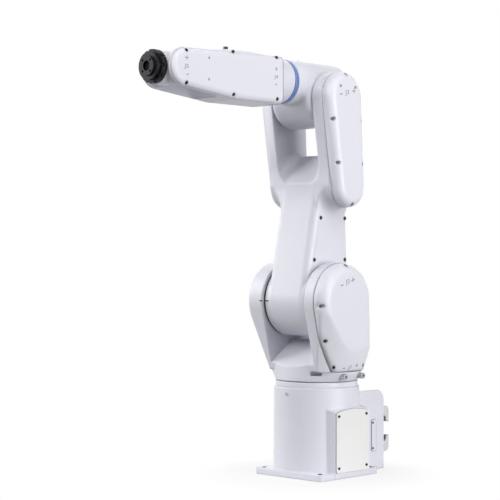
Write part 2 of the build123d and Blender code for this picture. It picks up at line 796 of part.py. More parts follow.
# Side covers of the forearm
side_cover_corner = forearm_corner - side_cover_margin
with BuildPart() as forearm_cover_left:
    with BuildSketch(side(cover_face_y)):
        add(hull_of([
            (wrist_x, forearm_height, wrist_end_radius - side_cover_margin),
            (neck_start_x, forearm_top_z, side_cover_corner),
            (neck_start_x, forearm_belly_z, side_cover_corner),
            (forearm_belly_x, forearm_belly_z, side_cover_corner),
        ]))
    extrude(amount=side_cover_thickness)
    add(forearm_body.part, mode=Mode.INTERSECT)
    with BuildSketch(front(neck_end_x + side_cover_gap)):
        with Locations((0, forearm_height)):
            Rectangle(2 * cut_reach, 2 * cut_reach)
    extrude(amount=-cut_reach, mode=Mode.SUBTRACT)
    wrist_rim = wrist_end_radius - pocket_inset
    with BuildSketch(side(cover_face_y)):
        with Locations(
            (wrist_x, forearm_height + wrist_rim),
            (wrist_x, forearm_height - wrist_rim),
            (side_pocket_middle_x, forearm_height + side_pocket_rise),
            (side_pocket_middle_x, forearm_height - side_pocket_drop),
            (side_pocket_rear_x, forearm_height + side_pocket_rise),
            (side_pocket_rear_x, forearm_height - side_pocket_drop),
        ):
            Circle(pocket_radius)
    extrude(amount=side_cover_thickness - side_pocket_floor, mode=Mode.SUBTRACT)
    with BuildSketch(side(cover_face_y)):
        with Locations(
            (dimple_x, forearm_height + dimple_half_spacing),
            (dimple_x, forearm_height - dimple_half_spacing),
        ):
            Circle(dimple_radius)
    extrude(amount=dimple_depth, mode=Mode.SUBTRACT)
forearm_cover_left.part.label = "forearm_cover_left"
export_step(forearm_cover_left.part, "parts/forearm_cover_left.step")

with BuildPart() as forearm_cover_right:
    add(forearm_cover_left.part.mirror(Plane.XZ))
forearm_cover_right.part.label = "forearm_cover_right"
export_step(forearm_cover_right.part, "parts/forearm_cover_right.step")

# Wrist: cross hub on the fifth axis and the nose
with BuildPart() as wrist_housing:
    with BuildSketch(side(wrist_half_gap - turn_gap)):
        with Locations((wrist_x, forearm_height)):
            Circle(wrist_hub_radius)
    extrude(amount=2 * (wrist_half_gap - turn_gap))
    with BuildSketch(front(wrist_x)):
        with Locations((0, forearm_height)):
            Circle(nose_radius)
    extrude(amount=nose_end_x - wrist_x)
    with BuildSketch(side(wrist_half_gap + wrist_pin_depth)):
        with Locations((wrist_x, forearm_height)):
            Circle(wrist_pin_radius)
    extrude(amount=2 * (wrist_half_gap + wrist_pin_depth))
    with BuildSketch(front(nose_end_x)):
        with Locations((0, forearm_height)):
            Circle(tool_spigot_radius + fit_clearance)
    extrude(amount=-tool_spigot_depth - end_clearance, mode=Mode.SUBTRACT)
wrist_housing.part.label = "wrist_housing"
export_step(wrist_housing.part, "parts/wrist_housing.step")

# Black ring behind the tool flange, with the spigot it turns on
flange_ring_x = nose_end_x + turn_gap
with BuildPart() as flange_ring:
    with BuildSketch(front(flange_ring_x)):
        with Locations((0, forearm_height)):
            Circle(flange_ring_radius)
    extrude(amount=flange_ring_width)
    with BuildSketch(front(flange_ring_x + flange_ring_width)):
        with Locations((0, forearm_height)):
            with PolarLocations(flange_ring_radius, flange_notch_count):
                Circle(flange_notch_radius)
    extrude(amount=-flange_notch_depth, mode=Mode.SUBTRACT)
    with BuildSketch(front(nose_end_x - tool_spigot_depth)):
        with Locations((0, forearm_height)):
            Circle(tool_spigot_radius)
    extrude(amount=tool_spigot_depth + turn_gap)
flange_ring.part.label = "flange_ring"
export_step(flange_ring.part, "parts/flange_ring.step")

# Tool flange with its centring bore and screw circle
flange_disc_x = flange_ring_x + flange_ring_width
flange_boss_x = flange_disc_x + flange_disc_width
flange_face_x = flange_boss_x + flange_boss_width
with BuildPart() as tool_flange:
    with BuildSketch(front(flange_disc_x)):
        with Locations((0, forearm_height)):
            Circle(flange_disc_radius)
    extrude(amount=flange_disc_width)
    with BuildSketch(front(flange_boss_x)):
        with Locations((0, forearm_height)):
            Circle(flange_boss_radius)
    extrude(amount=flange_boss_width)
    with BuildSketch(front(flange_face_x)):
        with Locations((0, forearm_height)):
            Circle(flange_bore_radius)
    extrude(amount=-flange_bore_depth, mode=Mode.SUBTRACT)
    with BuildSketch(front(flange_face_x)):
        with Locations((0, forearm_height)):
            with PolarLocations(flange_bolt_circle / 2, 4, 45):
                Circle(flange_bolt_radius)
    extrude(amount=-flange_bolt_depth, mode=Mode.SUBTRACT)
tool_flange.part.label = "tool_flange"
export_step(tool_flange.part, "parts/tool_flange.step")
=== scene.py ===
"""Looks of a white six-axis industrial robot arm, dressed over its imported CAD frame."""
import json
import math
import bmesh
import bpy
from mathutils import Matrix, Vector


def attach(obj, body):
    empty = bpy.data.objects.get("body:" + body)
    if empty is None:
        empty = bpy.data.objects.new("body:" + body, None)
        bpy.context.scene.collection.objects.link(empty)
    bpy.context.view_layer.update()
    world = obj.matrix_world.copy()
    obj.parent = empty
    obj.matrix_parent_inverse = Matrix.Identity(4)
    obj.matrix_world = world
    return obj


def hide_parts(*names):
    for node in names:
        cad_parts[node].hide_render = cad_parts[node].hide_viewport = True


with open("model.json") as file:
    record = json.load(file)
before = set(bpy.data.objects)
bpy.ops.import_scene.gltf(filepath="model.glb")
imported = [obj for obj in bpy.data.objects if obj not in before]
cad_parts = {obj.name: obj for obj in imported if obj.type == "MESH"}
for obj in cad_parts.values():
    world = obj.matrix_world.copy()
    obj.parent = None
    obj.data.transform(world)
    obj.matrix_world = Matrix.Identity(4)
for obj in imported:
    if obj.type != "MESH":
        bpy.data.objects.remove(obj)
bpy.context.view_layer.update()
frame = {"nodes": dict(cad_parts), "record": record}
scene = bpy.context.scene
MM = 0.001

# Places of the CAD model in mm: the shoulder axis, the forearm's axis and the middle of the rear connector
shoulder_x, shoulder_z = 27.5, 383.0
forearm_z = 858.0
connector_z = 88.0


# Colours and shader nodes
def linear(hex_colour):
    """An sRGB hex value as a linear colour with alpha."""
    channels = [int(hex_colour[i:i + 2], 16) / 255 for i in (1, 3, 5)]
    return tuple(c / 12.92 if c <= 0.04045 else ((c + 0.055) / 1.055) ** 2.4 for c in channels) + (1.0,)


def add_node(tree, kind, links=(), values=(), **settings):
    """A node with its settings, its input values by name or number, and its input links."""
    made = tree.nodes.new(kind)
    for name, value in settings.items():
        setattr(made, name, value)
    for socket, value in dict(values).items():
        made.inputs[socket].default_value = value
    for socket, source in dict(links).items():
        tree.links.new(source, made.inputs[socket])
    return made


def per_metre(size_mm):
    """The texture scale at which one wave or cell is this many millimetres wide."""
    return 1 / (size_mm * MM)


def new_finish(name):
    """An empty material with its output and the piece's own coordinates."""
    finish = bpy.data.materials.new(name)
    finish.use_nodes = True
    tree = finish.node_tree
    tree.nodes.clear()
    output = add_node(tree, "ShaderNodeOutputMaterial")
    place = add_node(tree, "ShaderNodeTexCoord").outputs["Object"]
    return finish, tree, output, place


def coated_finish(name, pale, deep, rough_low, rough_high, grain_mm, grain_height_mm, edge_mm, ior=1.5):
    """A coat with broad uneven tone, a fine grain and softened edges."""
    finish, tree, output, place = new_finish(name)
    broad = add_node(tree, "ShaderNodeTexNoise", {"Vector": place}, {"Scale": per_metre(90), "Detail": 3.0})
    grain = add_node(tree, "ShaderNodeTexNoise", {"Vector": place}, {"Scale": per_metre(grain_mm), "Detail": 2.0})
    tone = add_node(tree, "ShaderNodeMix", {0: broad.outputs[0]}, {6: linear(deep), 7: linear(pale)}, data_type="RGBA")
    rough = add_node(tree, "ShaderNodeMapRange", {"Value": grain.outputs[0]},
                     {"From Min": 0.3, "From Max": 0.7, "To Min": rough_low, "To Max": rough_high})
    soft_edge = add_node(tree, "ShaderNodeBevel", values={"Radius": edge_mm * MM}, samples=8)
    relief = add_node(tree, "ShaderNodeBump", {"Height": grain.outputs[0], "Normal": soft_edge.outputs[0]},
                      {"Strength": 0.35, "Distance": grain_height_mm * MM})
    shader = add_node(tree, "ShaderNodeBsdfPrincipled",
                      {"Base Color": tone.outputs[2], "Roughness": rough.outputs[0], "Normal": relief.outputs[0]},
                      {"IOR": ior})
    tree.links.new(shader.outputs[0], output.inputs["Surface"])
    return finish


def metal_finish(name, pale, deep, rough_low, rough_high, grain_mm, grain_height_mm, metallic=1.0):
    """A bare or treated metal with a fine cast, rolled or turned grain."""
    finish, tree, output, place = new_finish(name)
    grain = add_node(tree, "ShaderNodeTexNoise", {"Vector": place}, {"Scale": per_metre(grain_mm), "Detail": 4.0})
    tone = add_node(tree, "ShaderNodeMix", {0: grain.outputs[0]}, {6: linear(deep), 7: linear(pale)}, data_type="RGBA")
    rough = add_node(tree, "ShaderNodeMapRange", {"Value": grain.outputs[0]},
                     {"From Min": 0.3, "From Max": 0.7, "To Min": rough_low, "To Max": rough_high})
    soft_edge = add_node(tree, "ShaderNodeBevel", values={"Radius": 0.6 * MM}, samples=4)
    relief = add_node(tree, "ShaderNodeBump", {"Height": grain.outputs[0], "Normal": soft_edge.outputs[0]},
                      {"Strength": 0.4, "Distance": grain_height_mm * MM})
    shader = add_node(tree, "ShaderNodeBsdfPrincipled",
                      {"Base Color": tone.outputs[2], "Roughness": rough.outputs[0], "Normal": relief.outputs[0]},
                      {"Metallic": metallic})
    tree.links.new(shader.outputs[0], output.inputs["Surface"])
    return finish


# Powder-coated cast aluminium: a cool satin white with a slight orange peel
cast_coat = coated_finish("powder_coated_cast_aluminium", "#DEDEE7", "#D9D9E2", 0.38, 0.46, 2.2, 0.02, 5.0)
# Injection-moulded ABS covers: a little paler and smoother, with a fine spark-eroded grain
cover_abs = coated_finish("moulded_abs_cover", "#E2E2EB", "#DEDEE7", 0.34, 0.42, 1.6, 0.015, 4.0)
# Powder-coated sheet steel panels: a warmer white, flat and dull
panel_coat = coated_finish("powder_coated_sheet_steel", "#E9E9E8", "#E3E3E1", 0.45, 0.55, 1.4, 0.03, 0.8)
# Tinted polycarbonate ring: soft mid blue with a moulded gloss
ring_blue = coated_finish("tinted_polycarbonate_ring", "#6484C6", "#5877B8", 0.22, 0.32, 3.0, 0.02, 2.0, 1.58)
# Black anodised aluminium: dark, matt, with fine turning marks
flange_black = metal_finish("black_anodised_aluminium", "#2B2B2D", "#222224", 0.45, 0.58, 0.9, 0.02)
# Nitrile rubber seals: black and dull with a slight bloom; the same black is also painted shade in the plug holes and
# in the seams round the access cover and strip
black_seal_and_gap_shade = coated_finish("nitrile_seal_and_painted_shade", "#1E1E20", "#151517", 0.6, 0.75, 1.2, 0.04, 0.5)
# Painted seam shade: a mid grey, dull colour for the beads that stand in for the shade in the covers' seam gaps
seam_shade_grey = coated_finish("grey_silicone_gasket", "#707076", "#66666C", 0.5, 0.62, 1.2, 0.02, 0.2)
# Die-cast zinc connector levers: light grey, satin, sand-like skin
lever_zinc = metal_finish("die_cast_zinc", "#D2D4D8", "#C2C4C8", 0.4, 0.55, 1.1, 0.04, 0.35)
# Zinc-plated steel plugs and screws: bright grey with a soft shine
plated_steel = metal_finish("zinc_plated_steel", "#BFC1C5", "#A6A8AD", 0.24, 0.36, 0.8, 0.02)
# Black-oxide steel screws: nearly black, oily satin
oxide_steel = metal_finish("black_oxide_steel", "#3A3A3D", "#29292B", 0.3, 0.45, 0.8, 0.02, 0.8)
# Screen-printed ink: dull mid grey
mark_ink = coated_finish("screen_print_ink", "#8A8A92", "#7E7E86", 0.5, 0.62, 0.8, 0.01, 0.1)
# Black screen-printed ink of the zero marks: dense and dull
zero_ink = coated_finish("black_screen_print_ink", "#252528", "#1C1C1F", 0.5, 0.62, 0.8, 0.01, 0.1)
# The same ABS on the large shoulder dome, with a broad soft edge round its flat
dome_abs = coated_finish("moulded_abs_dome", "#E2E2EB", "#DEDEE7", 0.34, 0.42, 1.6, 0.015, 16.0)

slot_finish = {
    "body_paint": cast_coat, "cover_paint": cover_abs, "panel_paint": panel_coat, "accent_blue": ring_blue,
    "black_anodised": flange_black, "seal_rubber": black_seal_and_gap_shade, "connector_metal": lever_zinc,
    "plug_steel": plated_steel,
}
node_finish = {"shoulder_cover": dome_abs, "side_strip": cast_coat}
for subpart in frame["record"]["subparts"]:
    solid = frame["nodes"][subpart["node"]].data
    solid.materials.clear()
    solid.materials.append(node_finish.get(subpart["node"], slot_finish[subpart["material_slot"]]))


# Upper arm: the front of the casting runs in one sweep from the waist into the fork, with the flares blended in
def sweep_arm(valley, kink, half_length):
    """The casting with the hollow between waist and fork filled to a long curve and its creases rubbed smooth."""
    form = bmesh.new()
    form.from_mesh(frame["nodes"]["upper_arm_casting"].data)
    bmesh.ops.remove_doubles(form, verts=form.verts[:], dist=0.01 * MM)
    valley_x, valley_z = valley
    zone_below, zone_above, pitch, pod_side = 68, 48, 4, 80
    # The zone round the valley is cut into a fine grid
    for axis, low, high in ((2, valley_z - zone_below, valley_z + zone_above), (0, -40, 64), (1, -pod_side, pod_side)):
        normal = [float(i == axis) for i in range(3)]
        for step in range(int((high - low) / pitch) + 1):
            zone = [f for f in form.faces if any(-zone_below < v.co.z / MM - valley_z < zone_above for v in f.verts)]
            cut = dict.fromkeys(part for f in zone for part in (f, *f.edges, *f.verts))
            point = [(low + pitch * step) * MM * n for n in normal]
            bmesh.ops.bisect_plane(form, geom=list(cut), dist=0.05 * MM, plane_co=point, plane_no=normal)
    bmesh.ops.triangulate(form, faces=[f for f in form.faces if len(f.verts) > 4])
    # The hollow is filled towards the front only, from a depth behind the valley
    fill_depth, fill_blend = 40, 32
    for vert in form.verts:
        drop = max(0.0, half_length - abs(vert.co.z / MM - valley_z))
        front = min(1.0, max(0.0, (vert.co.x / MM - valley_x + fill_depth) / fill_blend))
        vert.co.x += MM * kink * drop ** 2 / (4 * half_length) * front ** 2 * (3 - 2 * front)
    # Each round rubs a slightly smaller band, which reaches higher on the flares than under the crotch
    band, crotch_side, flare_width, flare_rise = 32, 36, 24, 15
    for round_number in range(24):
        reach = band - 0.6 * round_number
        inner = [v for v in form.verts if abs(v.co.y) < pod_side * MM]
        rises = [flare_rise * min(1.0, max(0.0, (abs(v.co.y) / MM - crotch_side) / flare_width)) for v in inner]
        rubbed = [v for v, rise in zip(inner, rises) if abs(v.co.z / MM - valley_z + band - rise) < reach + rise]
        bmesh.ops.smooth_vert(form, verts=rubbed, factor=0.5, use_axis_x=True, use_axis_y=True, use_axis_z=True)
    bmesh.ops.recalc_face_normals(form, faces=form.faces[:])
    return form


def add_piece(name, body, finish, form):
    """A finished form as one mesh object that rides on its body."""
    mesh = bpy.data.meshes.new(name)
    form.to_mesh(mesh)
    form.free()
    mesh.materials.append(finish)
    piece = bpy.data.objects.new(name, mesh)
    scene.collection.objects.link(piece)
    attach(piece, body)
    return piece


# Socket screws: a tapered head with a hexagonal socket, set on points that carry their own axis
def screw_tree():
    """The node tree that sets one screw head on each point."""
    tree = bpy.data.node_groups.new("socket_screws", "GeometryNodeTree")
    sizes = {"Head Radius": 3.6 * MM, "Head Height": 4.0 * MM, "Socket Radius": 1.9 * MM, "Socket Depth": 2.4 * MM}
    tree.interface.new_socket("Seats", in_out="INPUT", socket_type="NodeSocketGeometry")
    for name, size in sizes.items():
        tree.interface.new_socket(name, in_out="INPUT", socket_type="NodeSocketFloat").default_value = size
    tree.interface.new_socket("Finish", in_out="INPUT", socket_type="NodeSocketMaterial")
    tree.interface.new_socket("Screws", in_out="OUTPUT", socket_type="NodeSocketGeometry")
    given = add_node(tree, "NodeGroupInput").outputs
    rim = add_node(tree, "ShaderNodeMath", {0: given["Head Radius"]}, {1: 0.88}, operation="MULTIPLY")
    head = add_node(tree, "GeometryNodeMeshCone",
                    {"Radius Top": rim.outputs[0], "Radius Bottom": given["Head Radius"],
                     "Depth": given["Head Height"]}, {"Vertices": 24})
    cut = add_node(tree, "GeometryNodeMeshCylinder",
                   {"Radius": given["Socket Radius"], "Depth": given["Socket Depth"]}, {"Vertices": 6})
    lift = add_node(tree, "ShaderNodeCombineXYZ", {"Z": given["Head Height"]})
    raised = add_node(tree, "GeometryNodeTransform", {"Geometry": cut.outputs[0], "Translation": lift.outputs[0]})
    socketed = add_node(tree, "GeometryNodeMeshBoolean",
                        {0: head.outputs[0], 1: raised.outputs[0]}, operation="DIFFERENCE")
    axis = add_node(tree, "GeometryNodeInputNamedAttribute", values={"Name": "seat_axis"}, data_type="FLOAT_VECTOR")
    turn = add_node(tree, "FunctionNodeAlignRotationToVector", {"Vector": axis.outputs[0]}, axis="Z")
    placed = add_node(tree, "GeometryNodeInstanceOnPoints",
                      {"Points": given["Seats"], "Instance": socketed.outputs[0], "Rotation": turn.outputs[0]})
    solid = add_node(tree, "GeometryNodeRealizeInstances", {0: placed.outputs[0]})
    painted = add_node(tree, "GeometryNodeSetMaterial", {"Geometry": solid.outputs[0], "Material": given["Finish"]})
    add_node(tree, "NodeGroupOutput", {0: painted.outputs[0]})
    return tree


socket_screws = screw_tree()


def grow(name, body, finish, tree, guide, sizes_mm):
    """Runs a node tree on a guide mesh and leaves one plain mesh that rides on the body."""
    piece = bpy.data.objects.new(name, guide)
    scene.collection.objects.link(piece)
    maker = piece.modifiers.new(name, "NODES")
    maker.node_group = tree
    named = {item.name: item.identifier for item in tree.interface.items_tree if item.in_out == "INPUT"}
    for size, value in sizes_mm.items():
        maker[named[size.replace("_", " ").title()]] = value * MM
    maker[named["Finish"]] = finish
    bpy.context.view_layer.update()
    mesh = bpy.data.meshes.new_from_object(piece.evaluated_get(bpy.context.evaluated_depsgraph_get()))
    piece.modifiers.clear()
    piece.data = mesh
    bpy.data.meshes.remove(guide)
    mesh.name = name
    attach(piece, body)


def set_screws(name, body, slot, finish, seats, **sizes_mm):
    """Screws at seats, each given as a point in mm and an outward axis."""
    points = bpy.data.meshes.new(name + "_seats")
    points.from_pydata([[c * MM for c in point] for point, _ in seats], [], [])
    axes = points.attributes.new("seat_axis", "FLOAT_VECTOR", "POINT")
    axes.data.foreach_set("vector", [c for _, axis in seats for c in axis])
    grow(name, body, finish, socket_screws, points, sizes_mm)


# Seam lines: a thin bead round the back edge of each cover, whose dark colour is painted shade of the gap at its seam
def bead_tree():
    """The node tree that runs a round bead along the edges of a guide."""
    tree = bpy.data.node_groups.new("seam_shade_bead", "GeometryNodeTree")
    tree.interface.new_socket("Course", in_out="INPUT", socket_type="NodeSocketGeometry")
    tree.interface.new_socket("Bead Radius", in_out="INPUT", socket_type="NodeSocketFloat").default_value = 0.6 * MM
    tree.interface.new_socket("Finish", in_out="INPUT", socket_type="NodeSocketMaterial")
    tree.interface.new_socket("Bead", in_out="OUTPUT", socket_type="NodeSocketGeometry")
    given = add_node(tree, "NodeGroupInput").outputs
    line = add_node(tree, "GeometryNodeMeshToCurve", {0: given["Course"]})
    ring = add_node(tree, "GeometryNodeCurvePrimitiveCircle", {"Radius": given["Bead Radius"]}, {"Resolution": 8})
    bead = add_node(tree, "GeometryNodeCurveToMesh", {"Curve": line.outputs[0], "Profile Curve": ring.outputs[0]})
    solid = add_node(tree, "GeometryNodeRealizeInstances", {0: bead.outputs[0]})
    painted = add_node(tree, "GeometryNodeSetMaterial", {"Geometry": solid.outputs[0], "Material": given["Finish"]})
    add_node(tree, "NodeGroupOutput", {0: painted.outputs[0]})
    return tree


seam_shade_bead = bead_tree()


def shade_cover_seam(name, cover, body, back, finish, bead_radius):
    """A bead of painted seam shade along the rim of a cover's back or end face."""
    form = bmesh.new()
    form.from_mesh(frame["nodes"][cover].data)
    bmesh.ops.remove_doubles(form, verts=form.verts[:], dist=0.01 * MM)
    form.normal_update()
    back = Vector(back)
    deep = max(v.co.dot(back) for v in form.verts) - 0.1 * MM
    seat = {f for f in form.faces if f.normal.dot(back) > 0.99 and f.calc_center_median().dot(back) > deep}
    rim = [e for e in form.edges if len(seat.intersection(e.link_faces)) == 1]
    places = {v: i for i, v in enumerate(dict.fromkeys(v for e in rim for v in e.verts))}
    course = bpy.data.meshes.new(name + "_course")
    course.from_pydata([v.co[:] for v in places], [[places[v] for v in e.verts] for e in rim], [])
    form.free()
    grow(name, body, finish, seam_shade_bead, course, dict(bead_radius=bead_radius))


left, right, ahead, behind, up = (0, 1, 0), (0, -1, 0), (1, 0, 0), (-1, 0, 0), (0, 0, 1)
small = dict(head_radius=3.4, head_height=3.6, socket_radius=1.8, socket_depth=2.4)
set_screws("shoulder_cover_screws", "turret", "plug_steel", oxide_steel, [
    ((x, 93.8, z), left) for x, z in [(27.5, 459.6), (104.1, 375), (-49.1, 375), (82, 300), (52.5, 242), (-41, 242)]
], **small)
set_screws("arm_cover_screws", "upper_arm", "plug_steel", oxide_steel, [
    ((x, 93.8, z), left)
    for x, z in [(27.5, 871.5), (8, 593), (69, 774), (-21, 774), (54, 681), (-24, 681)]
] + [
    ((x, -91.8, z), right)
    for x, z in [(27.5, 868), (8, 598), (66, 774), (-17, 774), (50, 681), (-22, 681)]
], **small)
set_screws("pod_face_screws", "upper_arm", "plug_steel", oxide_steel, [
    ((x, 113.0, 845.7), left) for x in (51.3, 2.5)
], head_radius=3.4, head_height=1.5, socket_radius=1.8, socket_depth=1.2)
set_screws("waist_screws", "upper_arm", "plug_steel", oxide_steel, [
    ((x, side * 54.3, z), (0, side, 0))
    for side in (1, -1) for x, z in [(48, 564), (-32, 564), (69, 473), (-32, 473)]
], head_radius=4.6, head_height=0.9, socket_radius=2.2, socket_depth=1.2)
set_screws("forearm_cover_screws", "forearm", "plug_steel", oxide_steel, [
    ((x, side * 45.8, z), (0, side, 0))
    for side in (1, -1)
    for x, z in [(445, 890.5), (445, 825.5), (312, 900), (312, 812), (181.6, 900), (181.6, 812)]
], head_radius=3.4, head_height=3.4, socket_radius=1.8, socket_depth=2.4)
set_screws("base_panel_screws", "base", "plug_steel", oxide_steel, [
    ((x, 99.8, z), left) for x in (41, -51) for z in (24, 136)
] + [
    ((-155.8, y, z), behind) for y in (51, -51) for z in (24, 141)
], head_radius=3.0, head_height=2.4, socket_radius=1.5, socket_depth=1.5)
set_screws("drum_screw", "base", "plug_steel", plated_steel, [
    ((94.0, -3.7, 181.6), ahead)
], head_radius=3.6, head_height=2.4, socket_radius=1.9, socket_depth=1.5)
set_screws("shoulder_cap_screws", "turret", "plug_steel", plated_steel, [
    ((shoulder_x + 46 * math.cos(a), -106.3, shoulder_z + 46 * math.sin(a)), right)
    for a in [math.tau * i / 6 for i in range(6)]
], head_radius=3.2, head_height=2.0, socket_radius=1.6, socket_depth=1.2)
set_screws("elbow_cover_screws", "elbow", "plug_steel", plated_steel, [
    ((-62.8, 23 * math.cos(a), forearm_z + 23 * math.sin(a)), behind)
    for a in [math.tau * (i + 0.5) / 4 for i in range(4)]
], head_radius=2.8, head_height=2.0, socket_radius=1.4, socket_depth=1.2)
# Black rubber discs in the plugs' bores: painted shade of the holes
set_screws("plug_hole_shade_discs", "turret", "seal_rubber", black_seal_and_gap_shade, [
    ((x, 99.8, 220), left) for x in (24, -34)
], head_radius=3.2, head_height=1.0, socket_radius=1.8, socket_depth=1.2)
set_screws("plate_bolts", "base", "plug_steel", oxide_steel, [
    ((x, y, 5.0), up) for x in (82, -82) for y in (82, -82)
], head_radius=5.4, head_height=9.9, socket_radius=3.0, socket_depth=6.0)
set_screws("forearm_vent_plug", "forearm", "plug_steel", oxide_steel, [
    ((286, 0, 911.0), up)
], head_radius=5.5, head_height=5.6, socket_radius=2.6, socket_depth=3.6)
set_screws("elbow_vent_plug", "elbow", "plug_steel", plated_steel, [
    ((69, 0, 905.6), up)
], head_radius=6.5, head_height=2.8, socket_radius=2.8, socket_depth=1.6)


# Axis marks printed on the covers, and the scribed zero marks at the shoulder
def print_marks(name, body, cover, marks, tilt=0.0):
    """Words given with a place in X and Z, a height in mm and a stretch, printed on the left side of a cover."""
    joined = bmesh.new()
    cap_height, outside = 0.7, 0.3
    turn = Matrix(((-1, 0, 0, 0), (0, 0, 1, 0), (0, 1, 0, 0), (0, 0, 0, 1)))
    for word, x, z, height, stretch in marks:
        letters = bpy.data.curves.new(name, "FONT")
        letters.body = word
        letters.size = height * MM / cap_height
        letters.extrude = 0.15 * MM
        letters.align_x, letters.align_y = "CENTER", "CENTER"
        holder = bpy.data.objects.new(name, letters)
        scene.collection.objects.link(holder)
        bpy.context.view_layer.update()
        printed = bpy.data.meshes.new_from_object(holder.evaluated_get(bpy.context.evaluated_depsgraph_get()))
        lean = Matrix.Rotation(math.radians(tilt), 4, "Z") @ Matrix.Diagonal((stretch, 1, 1, 1))
        printed.transform(Matrix.Translation((x * MM, 0, z * MM)) @ turn @ lean)
        for point in printed.vertices:
            point.co.y += frame["nodes"][cover].ray_cast((point.co.x, outside, point.co.z), right)[1].y
        joined.from_mesh(printed)
        bpy.data.objects.remove(holder)
        bpy.data.meshes.remove(printed)
    add_piece(name, body, mark_ink, joined)


def scribe_zero(name, body, course):
    """A short dark line at the shoulder's height that follows points in X and Y, a hair off the surface."""
    form = bmesh.new()
    rows = [[form.verts.new((x * MM, y * MM, (shoulder_z + half) * MM)) for x, y in course] for half in (-1.1, 1.1)]
    for i in range(len(course) - 1):
        form.faces.new((rows[0][i], rows[0][i + 1], rows[1][i + 1], rows[1][i]))
    bmesh.ops.solidify(form, geom=form.faces[:], thickness=0.3 * MM)
    bmesh.ops.recalc_face_normals(form, faces=form.faces[:])
    add_piece(name, body, zero_ink, form)


print_marks("wrist_marks", "forearm", "forearm_cover_left", [
    ("+", 446, 874, 14, 1), ("J5", 446, forearm_z, 8, 1.4), ("-", 444, 844, 16, 1)
])
print_marks("roll_marks", "forearm", "forearm_cover_left", [
    ("+", 186, 874, 12, 1), ("J4", 186, forearm_z, 7.5, 1.3), ("-", 186, 844, 15, 1)
])
print_marks("elbow_marks", "upper_arm", "arm_cover_left", [
    ("-", 50, 830, 18, 1.3), ("J3", 29, 833, 9, 1.4), ("+", 7, 836.5, 15, 1.2)
], tilt=8)
print_marks("shoulder_marks", "turret", "shoulder_cover", [
    ("-", 52, 420.5, 18, 1.3), ("J2", 32, 426, 9, 1.4), ("+", 15, 428.6, 15, 1.2)
], tilt=14)
print_marks("waist_marks", "turret", "shoulder_cover", [
    ("-", 27, 241, 14, 1.3), ("J1", 10, 241, 7.5, 1.4), ("+", -10, 243, 12, 1.2)
], tilt=4)
scribe_zero("cheek_zero", "turret", [(111.2, -60.4 - 3 * i) for i in range(4)])
scribe_zero("hub_zero", "upper_arm", [(105.3, -47.0 - 4 * i) for i in range(4)])


# Collars that carry the hub out to the cheeks, turned about the shoulder axis
def turn_collar(name, finish, side, outline):
    """A ring turned from an outline of radii and widths, on the left (1) or right (-1) of the hub."""
    form = bmesh.new()
    first = [form.verts.new(((shoulder_x + r) * MM, side * y * MM, shoulder_z * MM)) for r, y in outline]
    edges = [form.edges.new((first[i - 1], first[i])) for i in range(len(first))]
    bmesh.ops.spin(form, geom=first + edges, cent=(shoulder_x * MM, 0, shoulder_z * MM), axis=left, angle=math.tau,
                   steps=120, use_merge=True)
    bmesh.ops.remove_doubles(form, verts=form.verts[:], dist=0.01 * MM)
    bmesh.ops.recalc_face_normals(form, faces=form.faces[:])
    for face in form.faces:
        face.smooth = True
    collar = add_piece(name, "upper_arm", finish, form)
    collar.data.set_sharp_from_angle(angle=math.radians(40))


collar_outline = [(72.2, 40.0), (77.5, 40.0), (77.5, 56.6), (77.1, 57.4), (76.2, 57.8), (72.2, 57.8)]
lip_outline = [(72.2, 57.6), (76.2, 57.6), (76.6, 58.4), (76.6, 61.4), (76.0, 61.9), (72.2, 61.9)]
for end, side in (("left", 1), ("right", -1)):
    turn_collar("hub_collar_" + end, cast_coat, side, collar_outline)
    turn_collar("hub_lip_" + end, black_seal_and_gap_shade, side, lip_outline)


# Cheeks that close the sides of the two connector levers, notched where the levers hook on
lever_cheek = [(-157, 139.6), (-184, 139.6), (-191, 137.4), (-195.6, 130), (-195.6, 104.5), (-187.5, 104.5),
               (-187.5, 112), (-183, 117), (-157, 117)]
cheek_thickness = 2.2
cheeks = bmesh.new()
for flip in (1, -1):
    for y in (43.6, -45.8):
        corners = [(x * MM, y * MM, (connector_z + flip * (z - connector_z)) * MM) for x, z in lever_cheek]
        sheet = cheeks.faces.new([cheeks.verts.new(corner) for corner in corners])
        thick = bmesh.ops.extrude_face_region(cheeks, geom=[sheet])["geom"]
        bmesh.ops.translate(cheeks, verts=[v for v in thick if isinstance(v, bmesh.types.BMVert)],
                            vec=(0, cheek_thickness * MM, 0))
bmesh.ops.recalc_face_normals(cheeks, faces=cheeks.faces[:])
bmesh.ops.bevel(cheeks, geom=cheeks.edges[:], offset=0.4 * MM, segments=2, affect="EDGES")
add_piece("lever_cheeks", "base", lever_zinc, cheeks)

# Seams of the covers, panels and strip, drawn as beads of painted shade where the gaps are shaded
for cover, body, back in [
    ("shoulder_cover", "turret", right), ("arm_cover_left", "upper_arm", right),
    ("arm_cover_right", "upper_arm", left), ("forearm_cover_left", "forearm", right),
    ("forearm_cover_right", "forearm", left), ("rear_panel", "base", ahead), ("elbow_rear_cover", "elbow", ahead),
]:
    shade_cover_seam(cover + "_gasket", cover, body, back, seam_shade_grey, 0.42)
for cover in ("forearm_cover_left", "forearm_cover_right"):
    shade_cover_seam(cover + "_end_gasket", cover, "forearm", behind, seam_shade_grey, 0.5)
# Black beads round the access cover and the strip: painted shadow lines in their gaps
for cover, bead_radius in (("access_cover", 0.7), ("side_strip", 0.5)):
    shade_cover_seam(cover + "_gasket", cover, "base", right, black_seal_and_gap_shade, bead_radius)
set_screws("strip_screws", "base", "plug_steel", oxide_steel, [
    ((-107.5, 72.3, z), left) for z in (109, 52)
], head_radius=2.6, head_height=1.2, socket_radius=1.3, socket_depth=1.2)

